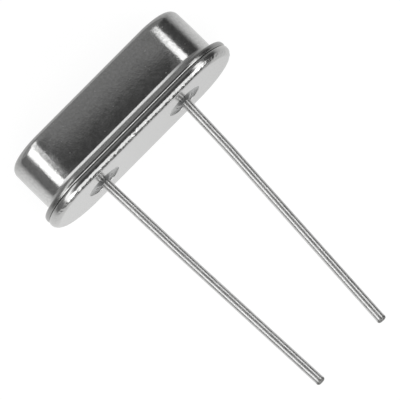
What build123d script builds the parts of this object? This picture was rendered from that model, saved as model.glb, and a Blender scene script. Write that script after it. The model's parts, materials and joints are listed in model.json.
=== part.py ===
from build123d import *
import math
import os

# Low-profile two-lead quartz crystal in a resistance-welded metal cover, lying on its side.
#
# Every piece is first built upright: X along the base, Y across it, Z up through the cover, with the
# underside of the base at Z = 0 and the leads hanging below. The finished pieces are then laid down
# together, as the crystal comes to rest on a table: on the rim of its flange and the top edge of its cover.

# ---- driving dimensions, millimetres ----

# flange and base
flange_length = 10.75       # over the round ends
flange_width = 4.50
base_flange_thickness = 0.46
base_lower_edge_radius = 0.20
joint_edge_radius = 0.04    # at the weld line between base and cover
plinth_top = 0.95           # the raised middle of the base, inside the cover
plinth_clearance = 0.10     # to the cover's inner wall
plinth_edge_radius = 0.08

# cover
flange_overhang = 0.45      # from the cover's wall to the flange's edge, all round
sheet_thickness = 0.23
overall_height = 3.24       # base underside to cover top
cover_top_radius = 0.36     # outside
cover_foot_radius = 0.20    # outside, where the wall turns out into the flange
flange_rim_radius = 0.08

# glass seals
lead_pitch = 4.88
seal_diameter = 1.73
eyelet_edge_radius = 0.06
glass_recess = 0.11         # deepest point of the glass surface below the metal face
glass_climb = 0.03          # how far the glass climbs the lead past the metal face

# leads: each straight run is (angle it leans in, in degrees, and the depth below the base where it ends)
lead_diameter = 0.43
lead_length = 12.75         # below the base
left_lead_runs = [(1.35, 4.60), (2.00, lead_length)]
right_lead_runs = [(2.75, 2.90), (4.02, lead_length)]
lead_straight_depth = 0.12  # the lead leaves the glass straight for this far
lead_bend_radius = 4.0
lead_tip_radius = 0.07
head_diameter = 0.72
head_bottom = 1.12
head_thickness = 0.13

# quartz blank and its electrodes
blank_length = 7.90
blank_width = 1.80
blank_thickness = 0.21      # about 8 MHz in the fundamental mode
blank_middle = 1.95         # height of its middle plane
blank_bevel = 0.05
electrode_length = 4.40
electrode_width = 1.30
electrode_thickness = 0.02
electrode_tab_width = 0.50

# spring clips
clip_sheet = 0.10
clip_foot_width = 0.90
clip_foot_inset = 0.42      # the foot starts this far on the inner side of its lead
clip_leg_width = 2.40
clip_leg_outer = 3.85       # outer face of the upright leg, from the middle of the part
clip_leg_top = 2.45
clip_bend_radius = 0.10     # inside
clip_corner_radius = 0.15
clip_slot_width = 1.90
clip_slot_height = 0.30

# conductive adhesive dabs
dab_reach = 0.50            # half length along the part
dab_half_width = 0.45
dab_half_height = 0.34

# ---- what follows from them ----

rim_top = base_flange_thickness + sheet_thickness
cover_length = flange_length - 2 * flange_overhang
cover_width = flange_width - 2 * flange_overhang
bore_length = cover_length - 2 * sheet_thickness
bore_width = cover_width - 2 * sheet_thickness
seal_radius = seal_diameter / 2
lead_radius = lead_diameter / 2
head_top = head_bottom + head_thickness
sides = {"left": -1, "right": 1}
tolerance = 0.001           # when edges are picked by their place


def slab(length, width, bottom, top):
    """A flat body with straight sides and full round ends."""
    outline = Pos(0, 0, bottom) * SlotOverall(length, width)
    return extrude(outline, amount=top - bottom)


def edges_at(piece, height, width=flange_width):
    """The piece's edges that lie wholly at one height, on outlines no wider than the width."""
    level = piece.edges().filter_by_position(Axis.Z, height - tolerance, height + tolerance)
    return [edge for edge in level if edge.bounding_box().size.Y < width + tolerance]


def make_cover():
    """Drawn shell: round-ended walls, a flat top, and a flange turned out at the mouth."""
    outside = slab(cover_length, cover_width, base_flange_thickness, overall_height)
    outside = fillet(edges_at(outside, overall_height), cover_top_radius)
    flange = slab(flange_length, flange_width, base_flange_thickness, rim_top)
    flange = fillet(edges_at(flange, rim_top), flange_rim_radius)
    flange = fillet(edges_at(flange, base_flange_thickness), joint_edge_radius)
    shell = outside + flange
    shell = fillet(edges_at(shell, rim_top, cover_width), cover_foot_radius)
    hollow = slab(bore_length, bore_width, base_flange_thickness, overall_height - sheet_thickness)
    hollow = fillet(edges_at(hollow, overall_height - sheet_thickness), cover_top_radius - sheet_thickness)
    shell = shell - hollow
    mouth = edges_at(shell, base_flange_thickness, bore_width)
    return fillet(mouth, cover_foot_radius + sheet_thickness)


def make_base():
    """Stamped plate: a flange to weld to, a plinth that fills the cover's mouth, and two eyelets."""
    flange = slab(flange_length, flange_width, 0, base_flange_thickness)
    flange = fillet(edges_at(flange, 0), base_lower_edge_radius)
    flange = fillet(edges_at(flange, base_flange_thickness), joint_edge_radius)
    plinth = slab(bore_length - 2 * plinth_clearance, bore_width - 2 * plinth_clearance, 0, plinth_top)
    plinth = fillet(edges_at(plinth, plinth_top), plinth_edge_radius)
    plate = flange + plinth
    for side in sides.values():
        hole = Pos(side * lead_pitch / 2, 0, plinth_top / 2) * Cylinder(seal_radius, plinth_top)
        plate = plate - hole
    eyelets = plate.edges().filter_by(GeomType.CIRCLE)
    eyelets = [edge for edge in eyelets if abs(edge.radius - seal_radius) < tolerance]
    return fillet(eyelets, eyelet_edge_radius)


def make_seal(side):
    """Glass ring fused between eyelet and lead, hollow on both faces where the melt wetted the metal."""
    wall_bottom = eyelet_edge_radius
    wall_top = plinth_top - eyelet_edge_radius
    middle_radius = (seal_radius + lead_radius) / 2
    lower = ThreePointArc((lead_radius, -glass_climb), (middle_radius, glass_recess),
                          (seal_radius, wall_bottom))
    wall = Line((seal_radius, wall_bottom), (seal_radius, wall_top))
    upper = ThreePointArc((seal_radius, wall_top), (middle_radius, plinth_top - glass_recess),
                          (lead_radius, plinth_top + glass_climb))
    bore = Line((lead_radius, plinth_top + glass_climb), (lead_radius, -glass_climb))
    section = Plane.XZ * make_face(Curve() + [lower, wall, upper, bore])
    return Pos(side * lead_pitch / 2, 0, 0) * revolve(section, Axis.Z, 360)


def make_lead(side, runs):
    """Round wire with a flattened head inside the cover. Below the glass it leans in, in straight runs."""
    root = Vector(side * lead_pitch / 2, 0, 0)
    points = [root + Vector(0, 0, head_bottom), root - Vector(0, 0, lead_straight_depth)]
    for angle, depth in runs:
        last = points[-1]
        drop = depth + last.Z
        points.append(last + Vector(-side * drop * math.tan(math.radians(angle)), 0, -drop))
    path = FilletPolyline(*points, radius=lead_bend_radius)
    wire = sweep(Plane(origin=points[0], z_dir=(0, 0, -1)) * Circle(lead_radius), path=path)
    cut_end = wire.edges().filter_by(GeomType.CIRCLE).sort_by_distance(points[-1])[0]
    wire = fillet(cut_end, lead_tip_radius)
    head = Pos(root.X, 0, head_bottom + head_thickness / 2) * Cylinder(head_diameter / 2, head_thickness)
    return wire + head


def make_clip(side):
    """Strip spring: a narrow foot on the lead's head, and a wide upright leg with a slot for the blank."""
    foot_start = lead_pitch / 2 - clip_foot_inset
    leg_middle = clip_leg_outer - clip_sheet / 2
    foot_middle = head_top + clip_sheet / 2
    centre_line = FilletPolyline(
        (foot_start, foot_middle),
        (leg_middle, foot_middle),
        (leg_middle, clip_leg_top),
        radius=clip_bend_radius + clip_sheet / 2,
    )
    section = Plane.XZ * trace(centre_line, clip_sheet)
    strip = extrude(section, amount=clip_leg_width / 2, both=True)
    top_face = strip.faces().sort_by(Axis.Z)[-1]
    strip = fillet(top_face.edges().filter_by(Axis.X), clip_corner_radius)
    foot_end = clip_leg_outer - clip_sheet - clip_bend_radius
    side_width = (clip_leg_width - clip_foot_width) / 2
    for across in (-1, 1):
        middle = Pos((foot_start + foot_end) / 2, across * (clip_foot_width + side_width) / 2, foot_middle)
        strip = strip - middle * Box(foot_end - foot_start, side_width, 2 * clip_sheet)
    slot = Pos(leg_middle, 0, blank_middle) * Box(2 * clip_sheet, clip_slot_width, clip_slot_height)
    clip = strip - slot
    if side < 0:
        clip = mirror(clip, about=Plane.YZ)
    return clip


def make_blank():
    """Quartz strip with bevelled edges."""
    blank = Pos(0, 0, blank_middle) * Box(blank_length, blank_width, blank_thickness)
    ends = blank.edges().filter_by(Axis.Y)
    return chamfer(ends, blank_bevel)


def make_electrode(face, side):
    """Silver film on one face of the blank, with a tab that runs out to the clip at one end."""
    pad = Rectangle(electrode_length, electrode_width)
    tab_end = blank_length / 2 - blank_bevel
    tab = Pos(side * tab_end / 2, 0) * Rectangle(tab_end, electrode_tab_width)
    inner = blank_middle + face * blank_thickness / 2
    return extrude(Pos(0, 0, inner) * (pad + tab), amount=face * electrode_thickness)


def make_dab(side, around):
    """Silver-filled adhesive set round the blank's end, the clip's slot and the electrode's tab."""
    ball = scale(Sphere(1), (dab_reach, dab_half_width, dab_half_height))
    dab = Pos(side * (clip_leg_outer - clip_sheet / 2), 0, blank_middle) * ball
    for piece in around:
        dab = dab - piece
    return dab


def resting_angle():
    """Tilt of the lying crystal, when the flange's rim and the cover's top edge both touch the table."""
    across = (flange_width / 2 - flange_rim_radius) - (cover_width / 2 - cover_top_radius)
    along = (rim_top - flange_rim_radius) - (overall_height - cover_top_radius)
    reach = math.hypot(across, along)
    tilt = math.atan2(along, across) + math.acos((cover_top_radius - flange_rim_radius) / reach)
    return math.degrees(tilt)


def make_pieces():
    """Every piece of the upright crystal, by name."""
    pieces = {
        "cover": make_cover(),
        "base": make_base(),
        "lead_left": make_lead(sides["left"], left_lead_runs),
        "lead_right": make_lead(sides["right"], right_lead_runs),
        "quartz_blank": make_blank(),
        "electrode_upper": make_electrode(1, sides["left"]),
        "electrode_lower": make_electrode(-1, sides["right"]),
    }
    for name, side in sides.items():
        pieces["glass_seal_" + name] = make_seal(side)
        pieces["spring_clip_" + name] = make_clip(side)
        held = [pieces[other] for other in ("quartz_blank", "electrode_upper", "electrode_lower")]
        pieces["adhesive_" + name] = make_dab(side, held + [pieces["spring_clip_" + name]])
    return pieces


def lay_down(pieces):
    """Turn the crystal onto its side and set it on Z = 0, with its box centred on the Z axis."""
    turn = Rot(X=-90 - resting_angle())
    box = Compound([turn * piece for piece in pieces.values()]).bounding_box()
    place = Pos(-box.center().X, -box.center().Y, -box.min.Z) * turn
    print("resting angle", resting_angle(), "base centre at", place.position)
    return {name: place * piece for name, piece in pieces.items()}


os.makedirs("parts", exist_ok=True)
for name, piece in lay_down(make_pieces()).items():
    export_step(piece, "parts/" + name + ".step")
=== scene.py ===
import json
import math

import bpy
from mathutils import Matrix, Vector


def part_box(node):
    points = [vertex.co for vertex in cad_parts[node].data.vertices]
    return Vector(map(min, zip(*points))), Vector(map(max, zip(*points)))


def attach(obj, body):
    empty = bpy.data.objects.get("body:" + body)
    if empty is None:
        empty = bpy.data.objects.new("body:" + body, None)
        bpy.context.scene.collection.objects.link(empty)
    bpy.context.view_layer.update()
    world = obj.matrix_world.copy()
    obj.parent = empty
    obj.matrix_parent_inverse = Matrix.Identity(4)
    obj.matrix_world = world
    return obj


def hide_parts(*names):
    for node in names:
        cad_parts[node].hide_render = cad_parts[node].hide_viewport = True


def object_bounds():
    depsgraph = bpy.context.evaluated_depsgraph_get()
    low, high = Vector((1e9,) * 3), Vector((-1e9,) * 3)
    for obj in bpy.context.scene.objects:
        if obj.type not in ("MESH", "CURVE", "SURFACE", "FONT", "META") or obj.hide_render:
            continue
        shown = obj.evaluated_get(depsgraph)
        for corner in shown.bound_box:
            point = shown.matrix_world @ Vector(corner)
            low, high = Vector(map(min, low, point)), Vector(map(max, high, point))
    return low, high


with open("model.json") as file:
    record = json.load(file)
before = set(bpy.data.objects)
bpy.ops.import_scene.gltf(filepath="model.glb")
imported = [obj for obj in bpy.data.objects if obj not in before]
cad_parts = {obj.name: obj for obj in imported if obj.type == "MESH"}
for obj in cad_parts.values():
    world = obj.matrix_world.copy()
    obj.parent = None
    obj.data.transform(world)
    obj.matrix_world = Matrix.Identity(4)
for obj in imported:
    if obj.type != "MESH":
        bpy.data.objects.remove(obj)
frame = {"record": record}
cad_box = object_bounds()

# A low two-lead quartz crystal, lying on its side. Every new piece is modelled upright, with the middle
# of the base's underside at the origin and the leads hanging down, and is then laid down where the
# crystal rests. Sizes are millimetres times mm.

# ---- base plate ----
# One stamped plate of nickel-plated steel: a flange to weld the cover to, a plinth that fills the cover's
# mouth and two eyelets for the glass. Its lower corner is rolled, and a little ragged from the press.
mm = 0.001
seating = next(mount for mount in frame["record"]["mounts"] if mount["name"] == "seating_face")
seating_centre = Vector(seating["pos_m"])
tilt = math.asin(seating["axis"][2])
base_low, base_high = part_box("base")
flange_length = base_high.x - base_low.x
flange_radius = 2.25 * mm
flange_straight = flange_length - 2 * flange_radius
base_thickness = 0.42 * mm
rolled_edge = 0.31 * mm
upper_lean = 0.024 * mm
lean_height = 0.055 * mm
lean_round = 0.038 * mm
joint_edge = 0.02 * mm
plinth_radius = 1.47 * mm
plinth_top = 0.95 * mm
plinth_edge = 0.08 * mm
lead_spacing = 4.88 * mm
eyelet_radius = 0.865 * mm
eyelet_edge = 0.03 * mm
burr_depth = 0.028 * mm
burr_size = 0.09 * mm
burr_start = 0.10 * mm
burr_height = 0.22 * mm
close = 0.001 * mm


def only(piece):
    """Make the piece the only thing selected, and the active one."""
    if bpy.context.object and bpy.context.object.mode == "EDIT":
        bpy.ops.object.mode_set(mode="OBJECT")
    bpy.ops.object.select_all(action="DESELECT")
    piece.select_set(True)
    bpy.context.view_layer.objects.active = piece


def draw_section(name, centre_x, points):
    """Draw a section as a chain of vertices, from (distance out from the middle, height) pairs."""
    bpy.ops.object.select_all(action="DESELECT")
    bpy.ops.mesh.primitive_plane_add(size=mm, location=(0, 0, 0))
    piece = bpy.context.object
    piece.name = name
    piece.data.name = name
    bpy.ops.object.mode_set(mode="EDIT")
    bpy.ops.mesh.select_mode(type="VERT")
    bpy.ops.mesh.merge(type="CENTER")
    bpy.ops.transform.translate(value=(centre_x, -points[0][0], points[0][1]))
    for (r0, z0), (r1, z1) in zip(points, points[1:]):
        bpy.ops.mesh.extrude_vertices_move(TRANSFORM_OT_translate={"value": (0, r0 - r1, z1 - z0)})
    return piece


def pick(piece, test):
    """Select only the piece's vertices that pass the test, with the edges and faces between them."""
    bpy.ops.object.mode_set(mode="OBJECT")
    for edge in piece.data.edges:
        edge.select = False
    for face in piece.data.polygons:
        face.select = False
    for vertex in piece.data.vertices:
        vertex.select = test(vertex.co)
    bpy.ops.object.mode_set(mode="EDIT")
    bpy.ops.mesh.select_mode(type="VERT")


def round_corner(piece, r, z, reach, steps):
    """Round one corner of a drawn section, from this far before it to this far past it."""
    pick(piece, lambda co: abs(co.y + r) < close and abs(co.z - z) < close)
    bpy.ops.mesh.bevel(offset=reach, offset_type="OFFSET", segments=steps, affect="VERTICES")


def carry_round(straight, end_steps, straight_steps):
    """Carry the whole drawn section round a straight-sided outline with half-round ends."""
    bpy.ops.mesh.select_all(action="SELECT")
    for side in (1, -1):
        centre = (side * straight / 2, 0, 0)
        bpy.ops.mesh.spin(steps=end_steps, angle=-math.pi, center=centre, axis=(0, 0, 1))
        for _ in range(straight_steps):
            step = (-side * straight / straight_steps, 0, 0)
            bpy.ops.mesh.extrude_region_move(TRANSFORM_OT_translate={"value": step})
    weld_and_turn_out()


def weld_and_turn_out():
    """Merge what lies in one place, and turn every face outwards."""
    bpy.ops.mesh.select_all(action="SELECT")
    bpy.ops.mesh.remove_doubles(threshold=0.0005 * mm)
    bpy.ops.mesh.select_all(action="SELECT")
    bpy.ops.mesh.normals_make_consistent(inside=False)


def cap(piece, height):
    """Close the open outline at one height with a flat face."""
    pick(piece, lambda co: abs(co.z - height) < close)
    bpy.ops.mesh.region_to_loop()
    bpy.ops.mesh.edge_face_add()


def apply(piece, kind, **settings):
    """Add a modifier with these settings and apply it."""
    only(piece)
    modifier = piece.modifiers.new(kind.lower(), kind)
    for key, value in settings.items():
        setattr(modifier, key, value)
    bpy.ops.object.modifier_apply(modifier=modifier.name)


def lay_down(piece):
    """Turn an upright piece onto its side, where the crystal lies, and leave its place in its mesh."""
    only(piece)
    piece.rotation_euler = (-math.pi / 2 - tilt, 0, 0)
    piece.location = seating_centre
    bpy.ops.object.transform_apply(location=True, rotation=True, scale=True)


def smooth(piece):
    """Smooth shading over rounded edges, with the flat faces kept flat."""
    only(piece)
    bpy.ops.object.shade_smooth_by_angle(angle=math.radians(35))
    apply(piece, "WEIGHTED_NORMAL", keep_sharp=True, weight=50)


def finish_piece(piece, material, slot, *nodes):
    """Give the piece its material and its place in the object."""
    piece.data.materials.clear()
    piece.data.materials.append(material)
    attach(piece, "root")
    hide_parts(*nodes)


class Finish:
    """A material made of nodes, on Object coordinates in metres."""

    def __init__(self, name, roughness, metallic):
        self.material = bpy.data.materials.new(name)
        self.material.use_nodes = True
        self.nodes = self.material.node_tree.nodes
        self.links = self.material.node_tree.links
        self.shader = self.nodes["Principled BSDF"]
        self.shader.inputs["Metallic"].default_value = metallic
        self.shader.inputs["Roughness"].default_value = roughness
        self.place = self.nodes.new("ShaderNodeTexCoord").outputs["Object"]
        self.bumps = None

    def noise(self, size, detail=2.0, stretch=(1, 1, 1), turn=(0, 0, 0)):
        """Noise whose features are about this large, stretched along the turned axes."""
        mapping = self.nodes.new("ShaderNodeMapping")
        mapping.inputs["Rotation"].default_value = turn
        mapping.inputs["Scale"].default_value = [1 / factor for factor in stretch]
        noise = self.nodes.new("ShaderNodeTexNoise")
        noise.inputs["Scale"].default_value = 1 / size
        noise.inputs["Detail"].default_value = detail
        self.links.new(self.place, mapping.inputs["Vector"])
        self.links.new(mapping.outputs["Vector"], noise.inputs["Vector"])
        return noise.outputs["Fac"]

    def spread(self, factor, low, high):
        """The noise's middle range carried to low and high."""
        node = self.nodes.new("ShaderNodeMapRange")
        node.inputs["From Min"].default_value = 0.3
        node.inputs["From Max"].default_value = 0.7
        node.inputs["To Min"].default_value = low
        node.inputs["To Max"].default_value = high
        self.links.new(factor, node.inputs["Value"])
        return node.outputs["Result"]

    def colour(self, factor, dark, light):
        """Colour that wanders between two tones."""
        mix = self.nodes.new("ShaderNodeMix")
        mix.data_type = "RGBA"
        mix.inputs["A"].default_value = (*dark, 1)
        mix.inputs["B"].default_value = (*light, 1)
        self.links.new(self.spread(factor, 0, 1), mix.inputs["Factor"])
        self.links.new(mix.outputs["Result"], self.shader.inputs["Base Color"])

    def roughness(self, factor, low, high):
        """Roughness that wanders between two values."""
        self.links.new(self.spread(factor, low, high), self.shader.inputs["Roughness"])

    def height(self):
        """Height above the base's underside, with the crystal stood upright."""
        node = self.nodes.new("ShaderNodeVectorMath")
        node.operation = "DOT_PRODUCT"
        node.inputs[1].default_value = -Vector(seating["axis"])
        away = self.nodes.new("ShaderNodeVectorMath")
        away.operation = "SUBTRACT"
        away.inputs[1].default_value = seating_centre
        self.links.new(self.place, away.inputs[0])
        self.links.new(away.outputs["Vector"], node.inputs[0])
        return node.outputs["Value"]

    def fade(self, value, first, last):
        """Nothing at the first value, all at the last."""
        node = self.nodes.new("ShaderNodeMapRange")
        node.interpolation_type = "SMOOTHSTEP"
        node.inputs["From Min"].default_value = first
        node.inputs["From Max"].default_value = last
        self.links.new(value, node.inputs["Value"])
        return node.outputs["Result"]

    def product(self, first, second):
        """Where both are."""
        node = self.nodes.new("ShaderNodeMath")
        node.operation = "MULTIPLY"
        self.links.new(first, node.inputs[0])
        self.links.new(second, node.inputs[1])
        return node.outputs["Value"]

    def band(self, top, upper, lower, bottom):
        """A band of heights on the upright crystal, fading out above and below."""
        height = self.height()
        return self.product(self.fade(height, top, upper), self.fade(height, bottom, lower))

    def lengthways(self):
        """Place along the crystal's length, from its middle."""
        split = self.nodes.new("ShaderNodeSeparateXYZ")
        self.links.new(self.place, split.inputs["Vector"])
        return split.outputs["X"]

    def distance(self, value, centre=0.0):
        """How far a value is from another, either way."""
        node = self.nodes.new("ShaderNodeMath")
        node.operation = "SUBTRACT"
        node.inputs[1].default_value = centre
        size = self.nodes.new("ShaderNodeMath")
        size.operation = "ABSOLUTE"
        self.links.new(value, node.inputs[0])
        self.links.new(node.outputs["Value"], size.inputs[0])
        return size.outputs["Value"]

    def wear_and_painted_light(self, where, rough, shade):
        """Another roughness and colour in one place: real marks, and also painted shade and painted
        highlights.
        """
        for socket, kind, level in (("Roughness", "FLOAT", rough), ("Base Color", "RGBA", (*shade, 1))):
            mix = self.nodes.new("ShaderNodeMix")
            mix.data_type = kind
            before, after = [item for item in mix.inputs if item.enabled and item.name in "AB"]
            after.default_value = level
            self.links.new(where, mix.inputs["Factor"])
            self.links.new(self.shader.inputs[socket].links[0].from_socket, before)
            result = [item for item in mix.outputs if item.enabled][0]
            self.links.new(result, self.shader.inputs[socket])

    def dull(self, where, metallic):
        """Less metallic in one place."""
        node = self.nodes.new("ShaderNodeMapRange")
        node.inputs["To Min"].default_value = 1
        node.inputs["To Max"].default_value = metallic
        self.links.new(where, node.inputs["Value"])
        self.links.new(node.outputs["Result"], self.shader.inputs["Metallic"])

    def bump(self, factor, depth):
        """Relief of this depth in metres, on top of any before it."""
        bump = self.nodes.new("ShaderNodeBump")
        bump.inputs["Strength"].default_value = 1.0
        bump.inputs["Distance"].default_value = depth
        self.links.new(factor, bump.inputs["Height"])
        if self.bumps:
            self.links.new(self.bumps, bump.inputs["Normal"])
        self.bumps = bump.outputs["Normal"]
        self.links.new(self.bumps, self.shader.inputs["Normal"])


def plated_steel():
    """Dull nickel plate over a stamped face: nearly neutral grey, satin, with a fine pebble."""
    finish = Finish("plated_steel", 0.2, 1.0)
    finish.colour(finish.noise(0.25 * mm, 3), (0.50, 0.50, 0.495), (0.54, 0.54, 0.535))
    finish.roughness(finish.noise(0.25 * mm, 3), 0.18, 0.25)
    finish.bump(finish.noise(0.8 * mm, 2), 0.0003 * mm)
    finish.bump(finish.noise(0.09 * mm, 2), 0.0004 * mm)
    return finish.material


base = draw_section("base_plate", flange_straight / 2, [
    (flange_radius - 2 * rolled_edge, 0), (flange_radius, 0), (flange_radius, base_thickness - lean_height),
    (flange_radius - upper_lean, base_thickness), (plinth_radius, base_thickness),
    (plinth_radius, plinth_top), (plinth_radius - 2 * plinth_edge, plinth_top)])
round_corner(base, flange_radius, 0, rolled_edge, 16)
round_corner(base, flange_radius, base_thickness - lean_height, lean_round, 4)
round_corner(base, flange_radius - upper_lean, base_thickness, joint_edge, 3)
round_corner(base, plinth_radius, plinth_top, plinth_edge, 4)
carry_round(flange_straight, 150, 200)
cap(base, 0)
cap(base, plinth_top)

for side in (-1, 1):
    bpy.ops.object.mode_set(mode="OBJECT")
    bpy.ops.object.select_all(action="DESELECT")
    bpy.ops.mesh.primitive_cylinder_add(vertices=72, radius=eyelet_radius, depth=4 * plinth_top,
                                        location=(side * lead_spacing / 2, 0, 0))
    punch = bpy.context.object
    apply(base, "BOOLEAN", object=punch, operation="DIFFERENCE", solver="EXACT")
    bpy.data.objects.remove(punch)


def on_eyelet(co):
    """Whether a point lies on the rim of an eyelet."""
    from_axis = math.hypot(abs(co.x) - lead_spacing / 2, co.y)
    return abs(from_axis - eyelet_radius) < 4 * close


only(base)
pick(base, on_eyelet)
bpy.ops.mesh.select_mode(type="EDGE")
bpy.ops.object.mode_set(mode="OBJECT")
for edge in base.data.edges:
    ends = [base.data.vertices[index].co for index in edge.vertices]
    edge.select = edge.select and abs(ends[0].z - ends[1].z) < close
bpy.ops.object.mode_set(mode="EDIT")
bpy.ops.mesh.bevel(offset=eyelet_edge, offset_type="OFFSET", segments=5, affect="EDGES")
bpy.ops.object.mode_set(mode="OBJECT")

ragged = base.vertex_groups.new(name="ragged")
for vertex in base.data.vertices:
    spine = max(abs(vertex.co.x) - flange_straight / 2, 0)
    out = math.hypot(spine, vertex.co.y) - (flange_radius - rolled_edge)
    if out > burr_start and vertex.co.z < burr_height:
        from_start = min(1, (out - burr_start) / (0.05 * mm))
        from_end = min(1, (burr_height - vertex.co.z) / (0.08 * mm))
        ragged.add([vertex.index], from_start * from_end, "REPLACE")
burr = bpy.data.textures.new("burr", "CLOUDS")
burr.noise_scale = burr_size
burr.noise_depth = 1
apply(base, "DISPLACE", texture=burr, strength=burr_depth, mid_level=1.0, vertex_group="ragged")
smooth(base)
lay_down(base)
finish_piece(base, plated_steel(), "base", "base")

# ---- glass seals ----
# A bead of sealing glass fused into each eyelet. It wetted the lead and the metal as it melted, so both
# its faces are hollow.
lead_radius = 0.215 * mm
glass_climb = 0.06 * mm
glass_hollow = 0.055 * mm


def sealing_glass():
    """Dark grey sealing glass with a fire-polished face, and painted shade across each lead's root."""
    finish = Finish("sealing_glass", 0.08, 0.0)
    finish.shader.inputs["IOR"].default_value = 1.52
    finish.colour(finish.noise(0.3 * mm, 3), (0.15, 0.155, 0.155), (0.22, 0.225, 0.22))
    finish.roughness(finish.noise(0.15 * mm, 2), 0.06, 0.14)
    from_lead = finish.distance(finish.distance(finish.lengthways()), lead_spacing / 2)
    # Painted shade: the glass is coloured near-black in a band across each lead's root, where the lead
    # shades it.
    finish.wear_and_painted_light(finish.fade(from_lead, 0.42 * mm, 0.26 * mm), 0.10, (0.04, 0.042, 0.042))
    finish.bump(finish.noise(0.2 * mm, 2), 0.0005 * mm)
    return finish.material


def glass_face(height, outwards, steps):
    """Points on a face of the glass, from the lead to the eyelet: it climbs the lead and sags between."""
    points = []
    for step in range(steps + 1):
        share = step / steps
        inset = eyelet_edge * share + glass_hollow * 4 * share * (1 - share) - glass_climb * (1 - share) ** 4
        points.append((lead_radius + share * (eyelet_radius - lead_radius), height - outwards * inset))
    return points


glass = sealing_glass()
lower = glass_face(0, -1, 20)
upper = glass_face(plinth_top, 1, 20)[::-1]
first_bead = draw_section("glass_bead_left", -lead_spacing / 2, lower + upper + lower[:1])
bpy.ops.mesh.select_all(action="SELECT")
bpy.ops.mesh.spin(steps=72, angle=2 * math.pi, center=(-lead_spacing / 2, 0, 0), axis=(0, 0, 1))
weld_and_turn_out()
smooth(first_bead)
lay_down(first_bead)
only(first_bead)
bpy.ops.object.duplicate()
second_bead = bpy.context.object
second_bead.name = "glass_bead_right"
second_bead.data.name = "glass_bead_right"
bpy.ops.object.mode_set(mode="EDIT")
bpy.ops.mesh.select_all(action="SELECT")
bpy.ops.transform.translate(value=(lead_spacing, 0, 0))
bpy.ops.object.mode_set(mode="OBJECT")
finish_piece(first_bead, glass, "glass_seal", "glass_seal_left")
finish_piece(second_bead, glass, "glass_seal", "glass_seal_right")

# ---- leads ----
# Tinned iron-nickel-cobalt wire with a flattened head inside the cover. Each leaves the glass straight
# and leans in towards the other in two straight runs with a slight bend between them.
wire_steps = 48
head_bottom = 1.12 * mm
head_height = 0.13 * mm
head_radius = 0.36 * mm
straight_depth = 0.12 * mm
bend_radius = 4.0 * mm
tip_radius = 0.11 * mm
head_edge = 0.03 * mm
wire_piece = 0.25 * mm
lead_length = 12.75 * mm
lead_runs = {
    "left": [(1.35, 4.60 * mm), (2.00, lead_length)],
    "right": [(2.75, 2.90 * mm), (4.02, lead_length)],
}


def tinned_wire():
    """Tin plate on drawn wire: satin, with faint lines along the wire."""
    finish = Finish("tinned_wire", 0.2, 1.0)
    along = (-tilt, 0, 0)
    finish.colour(finish.noise(0.4 * mm, 3), (0.64, 0.64, 0.635), (0.74, 0.74, 0.735))
    finish.roughness(finish.noise(0.2 * mm, 3), 0.29, 0.39)
    finish.wear_and_painted_light(finish.fade(finish.height(), -12.58 * mm, -12.68 * mm), 0.45, (0.24, 0.24, 0.235))
    finish.bump(finish.noise(0.05 * mm, 2, stretch=(1, 14, 1), turn=along), 0.0003 * mm)
    finish.bump(finish.noise(0.40 * mm, 2), 0.002 * mm)
    return finish.material


def extrude_along(heading, length, steps):
    """Extrude the selected ring straight on, where heading is the lean from straight down."""
    step = Vector((math.sin(heading), 0, -math.cos(heading))) * (length / steps)
    for _ in range(steps):
        bpy.ops.mesh.extrude_region_move(TRANSFORM_OT_translate={"value": step})


tin = tinned_wire()
for name, side in (("left", -1), ("right", 1)):
    bpy.ops.object.mode_set(mode="OBJECT")
    bpy.ops.object.select_all(action="DESELECT")
    root_x = side * lead_spacing / 2
    bpy.ops.mesh.primitive_circle_add(vertices=wire_steps, radius=lead_radius,
                                      location=(root_x, 0, head_bottom))
    wire = bpy.context.object
    wire.name = "lead_wire_" + name
    bpy.ops.object.transform_apply(location=True, rotation=True, scale=True)
    bpy.ops.object.mode_set(mode="EDIT")
    bpy.ops.mesh.select_all(action="SELECT")
    at = Vector((root_x, 0, head_bottom))
    heading = 0.0
    corner = Vector((root_x, 0, -straight_depth))
    for angle, depth in lead_runs[name]:
        lean = -side * math.radians(angle)
        turn = lean - heading
        tangent = bend_radius * math.tan(abs(turn) / 2)
        run = (corner - at).length - tangent
        extrude_along(heading, run, max(2, round(run / wire_piece)))
        inward = Vector((math.cos(heading), 0, math.sin(heading))) * math.copysign(bend_radius, turn)
        start = corner - Vector((math.sin(heading), 0, -math.cos(heading))) * tangent
        bpy.ops.mesh.spin(steps=4, angle=turn, center=start + inward, axis=(0, 1, 0))
        heading = lean
        at = corner + Vector((math.sin(heading), 0, -math.cos(heading))) * tangent
        drop = depth + corner.z
        corner = corner + Vector((math.tan(heading) * drop, 0, -drop))
    run = (corner - at).length
    extrude_along(heading, run, round(run / wire_piece))
    bpy.ops.mesh.edge_face_add()
    bpy.ops.mesh.region_to_loop()
    bpy.ops.mesh.bevel(offset=tip_radius, offset_type="OFFSET", segments=8, affect="EDGES")
    pick(wire, lambda co: co.z > head_bottom - close)
    bpy.ops.mesh.extrude_region_move()
    widening = head_radius / lead_radius
    bpy.ops.transform.resize(value=(widening, widening, 1), center_override=(root_x, 0, head_bottom))
    bpy.ops.mesh.extrude_region_move(TRANSFORM_OT_translate={"value": (0, 0, head_height)})
    bpy.ops.mesh.edge_face_add()
    bpy.ops.mesh.region_to_loop()
    bpy.ops.mesh.bevel(offset=head_edge, offset_type="OFFSET", segments=3, affect="EDGES")
    weld_and_turn_out()
    smooth(wire)
    lay_down(wire)
    finish_piece(wire, tin, "lead", "lead_" + name)

# ---- spring clips ----
# Strips of nickel-plated spring bronze, folded up and slotted. Each is spot-welded on a lead's head and
# holds one end of the quartz.


def refinish(material, *nodes):
    """Give pieces that keep their own shape this material."""
    for node in nodes:
        for slot in bpy.data.objects[node].material_slots:
            slot.material = material


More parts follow.
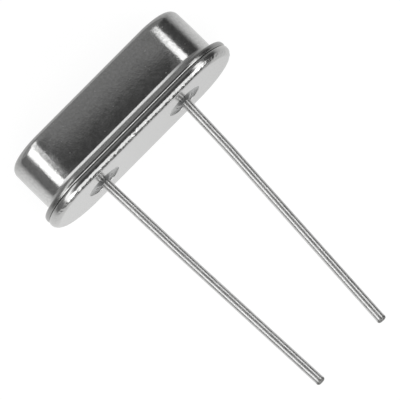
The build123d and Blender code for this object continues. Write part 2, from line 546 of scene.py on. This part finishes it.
def spring_strip():
    """Nickel-plated strip with rolling lines."""
    finish = Finish("spring_strip", 0.3, 1.0)
    finish.colour(finish.noise(0.5 * mm, 3), (0.56, 0.545, 0.51), (0.66, 0.645, 0.61))
    finish.roughness(finish.noise(0.2 * mm, 3), 0.24, 0.36)
    finish.bump(finish.noise(0.04 * mm, 2, stretch=(12, 1, 12)), 0.0005 * mm)
    return finish.material


refinish(spring_strip(), "spring_clip_left", "spring_clip_right")

# ---- quartz blank ----
# A strip of quartz crystal with bevelled ends, lapped and etched until it is clear with a faint frost. It
# lies across the two clips, parallel with the base, and is what vibrates.


def etched_quartz():
    """Clear quartz with an etched, faintly frosted face."""
    finish = Finish("etched_quartz", 0.2, 0.0)
    finish.shader.inputs["IOR"].default_value = 1.545
    finish.shader.inputs["Transmission Weight"].default_value = 0.9
    finish.colour(finish.noise(0.3 * mm, 3), (0.93, 0.94, 0.93), (0.98, 0.98, 0.98))
    finish.roughness(finish.noise(0.08 * mm, 3), 0.12, 0.32)
    finish.bump(finish.noise(0.04 * mm, 2), 0.0004 * mm)
    return finish.material


refinish(etched_quartz(), "quartz_blank")

# ---- electrodes ----
# A film of silver on each face of the quartz, evaporated through a mask. The upper one has its tab out to
# the left clip and the lower one to the right clip.


def silver_film():
    """Evaporated silver that shows the etched face under it."""
    finish = Finish("silver_film", 0.25, 1.0)
    finish.colour(finish.noise(0.6 * mm, 3), (0.86, 0.85, 0.82), (0.93, 0.925, 0.90))
    finish.roughness(finish.noise(0.08 * mm, 3), 0.18, 0.32)
    finish.bump(finish.noise(0.04 * mm, 2), 0.0004 * mm)
    return finish.material


refinish(silver_film(), "electrode_upper", "electrode_lower")

# ---- conductive adhesive ----
# A dab of silver-filled resin at each end. It is put on soft and cured round the quartz, the clip's slot
# and the electrode's tab, which it joins electrically.


def filled_resin():
    """Dull silver-grey resin full of small flakes."""
    finish = Finish("filled_resin", 0.5, 0.4)
    finish.colour(finish.noise(0.05 * mm, 3), (0.42, 0.41, 0.38), (0.62, 0.61, 0.58))
    finish.roughness(finish.noise(0.05 * mm, 3), 0.40, 0.65)
    finish.bump(finish.noise(0.03 * mm, 2), 0.003 * mm)
    return finish.material


refinish(filled_resin(), "adhesive_left", "adhesive_right")

# ---- cover ----
# One shell drawn from nickel silver sheet, welded to the base all round its flange. The drawing leaves its
# walls very slightly barrelled, so that a reflection fades from the top of the cover to its foot.
cover_top = 3.239 * mm
sheet = 0.23 * mm
wall_radius = 1.80 * mm
rim_top = 0.69 * mm
top_round = 0.36 * mm
mouth_round = 0.45 * mm
foot_round = 0.24 * mm
rim_corner = 2.220 * mm
rim_foot = 2.292 * mm
rim_round = 0.19 * mm
rim_corner_round = 0.05 * mm
barrel = 0.010 * mm
crown = 0.025 * mm
crown_reach = 2.4 * mm
near_wall = 0.05 * mm


def nickel_silver():
    """Drawn nickel silver with fine specks, painted shade on the flange at the ends and a painted highlight
    along the foot.
    """
    finish = Finish("nickel_silver", 0.2, 1.0)
    finish.colour(finish.noise(0.11 * mm, 4), (0.54, 0.54, 0.535), (0.66, 0.66, 0.655))
    finish.roughness(finish.noise(0.3 * mm, 4), 0.13, 0.20)
    specks = finish.fade(finish.noise(0.10 * mm, 0), 0.80, 0.90)
    finish.wear_and_painted_light(specks, 0.32, (0.78, 0.78, 0.775))
    # Painted shade: the flange is coloured dark grey, and made a little rougher, at both ends of the cover.
    painted_shade_flange_ends = finish.product(finish.fade(finish.height(), 0.86 * mm, 0.76 * mm),
                                 finish.fade(finish.distance(finish.lengthways()), 3.2 * mm, 3.7 * mm))
    finish.wear_and_painted_light(painted_shade_flange_ends, 0.25, (0.36, 0.36, 0.355))
    # Painted highlight: a pale, duller, less metallic band along the foot of the wall makes a bright line
    # there.
    painted_highlight_band = finish.band(0.975 * mm, 0.915 * mm, 0.870 * mm, 0.820 * mm)
    painted_highlight_band = finish.product(painted_highlight_band, finish.fade(finish.lengthways(), -4.0 * mm, -3.4 * mm))
    painted_highlight_band = finish.product(painted_highlight_band, finish.fade(finish.lengthways(), 4.0 * mm, 1.8 * mm))
    finish.wear_and_painted_light(painted_highlight_band, 0.85, (0.97, 0.97, 0.965))
    finish.dull(painted_highlight_band, 0.20)
    finish.bump(finish.noise(1.4 * mm, 2), 0.003 * mm)
    finish.bump(finish.noise(0.16 * mm, 3), 0.0028 * mm)
    finish.bump(finish.noise(0.06 * mm, 2), 0.0013 * mm)
    return finish.material


cover = draw_section("cover_shell", flange_straight / 2, [
    (0, cover_top), (wall_radius, cover_top), (wall_radius, rim_top),
    (rim_corner, rim_top), (rim_foot, base_thickness), (wall_radius - sheet, base_thickness),
    (wall_radius - sheet, cover_top - sheet), (0, cover_top - sheet)])
round_corner(cover, wall_radius, cover_top, top_round, 14)
round_corner(cover, wall_radius, rim_top, foot_round, 12)
round_corner(cover, rim_corner, rim_top, rim_corner_round, 4)
round_corner(cover, rim_foot, base_thickness, rim_round, 10)
round_corner(cover, wall_radius - sheet, base_thickness, mouth_round, 10)
round_corner(cover, wall_radius - sheet, cover_top - sheet, top_round - sheet, 6)
wall_low = rim_top + foot_round
wall_high = cover_top - top_round
pick(cover, lambda co: co.y < -wall_radius + close and wall_low - close < co.z < wall_high + close)
bpy.ops.mesh.subdivide(number_cuts=23)
wall_middle = (wall_low + wall_high) / 2
wall_half = (wall_high - wall_low) / 2
pick(cover, lambda co: abs(co.y + wall_radius) < close and abs(co.z - wall_middle) < 10 * close)
bpy.ops.transform.translate(value=(0, -barrel, 0), use_proportional_edit=True, proportional_size=wall_half,
                            proportional_edit_falloff="INVERSE_SQUARE")
carry_round(flange_straight, 96, 48)


def on_outer_wall(co):
    """Whether a point lies on the outside of the wall, or further out."""
    return math.hypot(max(abs(co.x) - flange_straight / 2, 0), co.y) > wall_radius - near_wall


for side in (-1, 1):
    pick(cover, on_outer_wall)
    bpy.ops.mesh.hide(unselected=True)
    bpy.ops.mesh.select_all(action="DESELECT")
    bpy.ops.object.mode_set(mode="OBJECT")
    for vertex in cover.data.vertices:
        on_ridge = abs(vertex.co.z - wall_middle) < 0.045 * mm and abs(vertex.co.x) < crown_reach
        vertex.select = not vertex.hide and on_ridge and side * vertex.co.y > wall_radius - near_wall
    bpy.ops.object.mode_set(mode="EDIT")
    bpy.ops.transform.translate(value=(0, side * crown, 0), use_proportional_edit=True,
                                use_proportional_connected=True, proportional_size=wall_half,
                                proportional_edit_falloff="INVERSE_SQUARE")
    bpy.ops.mesh.reveal(select=False)
smooth(cover)
lay_down(cover)
finish_piece(cover, nickel_silver(), "cover", "cover")

# ---- table, lamps and camera ----
# A plain white table under soft lamps at the left, right, one corner and the front, with a fill lamp above
# that gives no highlight. The camera looks almost straight down.
middle = (cad_box[0] + cad_box[1]) / 2

bpy.ops.object.mode_set(mode="OBJECT")
bpy.ops.object.select_all(action="DESELECT")
bpy.ops.mesh.primitive_circle_add(vertices=96, radius=1.2, fill_type="NGON", location=(0, 0, 0))
table = bpy.context.object
table.name = "table"


def white_table():
    """White board: white to the camera with a faint shadow; in reflections it shows a painted glow,
    brightest near the crystal and fainter far away.
    """
    finish = Finish("white_table", 0.6, 0.0)
    finish.shader.inputs["Specular IOR Level"].default_value = 0.0
    finish.shader.inputs["Base Color"].default_value = (0.12, 0.12, 0.12, 1)
    finish.shader.inputs["Emission Color"].default_value = (1, 1, 1, 1)
    nodes = finish.nodes
    links = finish.links

    def maths(operation, first, second):
        """One sum, of numbers or of other nodes' results."""
        node = nodes.new("ShaderNodeMath")
        node.operation = operation
        for socket, value in zip(node.inputs, (first, second)):
            if isinstance(value, float):
                socket.default_value = value
            else:
                links.new(value, socket)
        return node.outputs[0]

    def ramp(value, first, last, low, high):
        """A smooth change from low to high as the value goes from first to last."""
        node = nodes.new("ShaderNodeMapRange")
        node.interpolation_type = "SMOOTHSTEP"
        for name, number in (("From Min", first), ("From Max", last), ("To Min", low), ("To Max", high)):
            node.inputs[name].default_value = number
        links.new(value, node.inputs["Value"])
        return node.outputs["Result"]

    where = nodes.new("ShaderNodeSeparateXYZ")
    links.new(finish.place, where.inputs[0])
    # Painted light: as seen in reflections, the board glows brightest near the crystal and fades with
    # distance, and more on the far side.
    bright_reach = 27 * mm
    aside = maths("POWER", maths("ADD", where.outputs[0], 4 * mm), 2.0)
    square = maths("ADD", aside, maths("POWER", maths("MULTIPLY", where.outputs[1], 0.5), 2.0))
    painted_glow = maths("DIVIDE", 1.0, maths("ADD", maths("DIVIDE", square, bright_reach ** 2), 1.0))
    painted_glow = maths("MULTIPLY", painted_glow, ramp(where.outputs[1], 6 * mm, 11 * mm, 1.0, 0.5))
    path = nodes.new("ShaderNodeLightPath")
    mirrored = maths("MAXIMUM", path.outputs["Is Glossy Ray"], path.outputs["Is Transmission Ray"])
    seen = maths("MULTIPLY", path.outputs["Is Camera Ray"], 0.895)
    level = maths("ADD", seen, maths("MULTIPLY", mirrored, maths("MULTIPLY", painted_glow, 0.84)))
    links.new(level, finish.shader.inputs["Emission Strength"])
    return finish.material


table.data.materials.append(white_table())


def lamp(name, azimuth, low, high, left, right, radiance, distance=0.25):
    """A long soft box that faces the crystal: between two angles from straight up, and to both sides."""
    polar = math.radians((low + high) / 2)
    width = 2 * distance * math.tan(math.radians(high - low) / 2)
    ends = [distance * math.tan(math.radians(angle)) for angle in (left, right)]
    turn = math.radians(azimuth)
    towards = Vector((math.sin(polar) * math.cos(turn), math.sin(polar) * math.sin(turn), math.cos(polar)))
    across = Vector((-math.sin(turn), math.cos(turn), 0))
    light = bpy.data.lights.new(name, "AREA")
    light.shape = "RECTANGLE"
    light.size = ends[1] - ends[0]
    light.size_y = width
    light.energy = radiance * math.pi * light.size * width
    box = bpy.data.objects.new(name, light)
    place = Matrix.Translation(middle + towards * distance + across * (ends[0] + ends[1]) / 2)
    box.matrix_world = place @ Matrix((across, towards.cross(across), towards)).transposed().to_4x4()
    bpy.context.scene.collection.objects.link(box)
    return box


lamp("lamp_right", 0, 29, 50.5, -62, 24, 1.9)
lamp("lamp_left", 180, 34, 58, -32, 62, 1.7)
lamp("lamp_corner", 180, 18, 48, -66, -24, 1.0)
lamp("lamp_front", -90, 36, 70, -45, 45, 1.5)
lamp("lamp_above", 0, -25, 25, -25, 25, 1.75).visible_glossy = False

world = bpy.data.worlds.new("studio")
bpy.context.scene.world = world
world.use_nodes = True
sky = world.node_tree.nodes
sky_links = world.node_tree.links


def sky_range(value, kind, start, end, low, high):
    """Carry a value from its range between start and end to the range between low and high."""
    node = sky.new("ShaderNodeMapRange")
    node.interpolation_type = kind
    for label, number in (("From Min", start), ("From Max", end), ("To Min", low), ("To Max", high)):
        node.inputs[label].default_value = number
    sky_links.new(value, node.inputs["Value"])
    return node.outputs["Result"]


def sky_sum(first, second):
    """Add two values."""
    node = sky.new("ShaderNodeMath")
    sky_links.new(first, node.inputs[0])
    sky_links.new(second, node.inputs[1])
    return node.outputs[0]


ray = sky.new("ShaderNodeSeparateXYZ")
sky_links.new(sky.new("ShaderNodeTexCoord").outputs["Generated"], ray.inputs[0])
slant = sky_range(ray.outputs[0], "LINEAR", -0.08, 0.08, -0.064, 0.064)
beyond = sky_range(sky_sum(slant, ray.outputs[1]), "SMOOTHSTEP", 0.405, 0.455, 0.06, 0.25)
leftwards = sky_range(ray.outputs[0], "SMOOTHSTEP", -0.03, -0.25, 0.0, 0.12)
background = sky["Background"]
background.inputs["Color"].default_value = (1, 1, 1, 1)
sky_links.new(sky_sum(beyond, leftwards), background.inputs["Strength"])

camera_distance = 0.150
camera_back = Vector((-0.0436, -0.0022, 0.9990)).normalized()
camera_right = Vector((0.7040, -0.7096, 0.0292))
camera_aim = middle + Vector((-0.11, 1.08, -0.17)) * mm
camera_place = seating_centre + camera_back * camera_distance
forward = (camera_aim - camera_place).normalized()
right = (camera_right - forward * camera_right.dot(forward)).normalized()
up = right.cross(forward)
camera = bpy.data.objects.new("camera", bpy.data.cameras.new("camera"))
camera.data.lens = 314.1
camera.data.sensor_width = 36
camera.data.clip_start = 0.001
camera.matrix_world = Matrix.Translation(camera_place) @ Matrix((right, up, -forward)).transposed().to_4x4()
bpy.context.scene.collection.objects.link(camera)
bpy.context.scene.camera = camera
bpy.context.scene.view_settings.view_transform = "Standard"
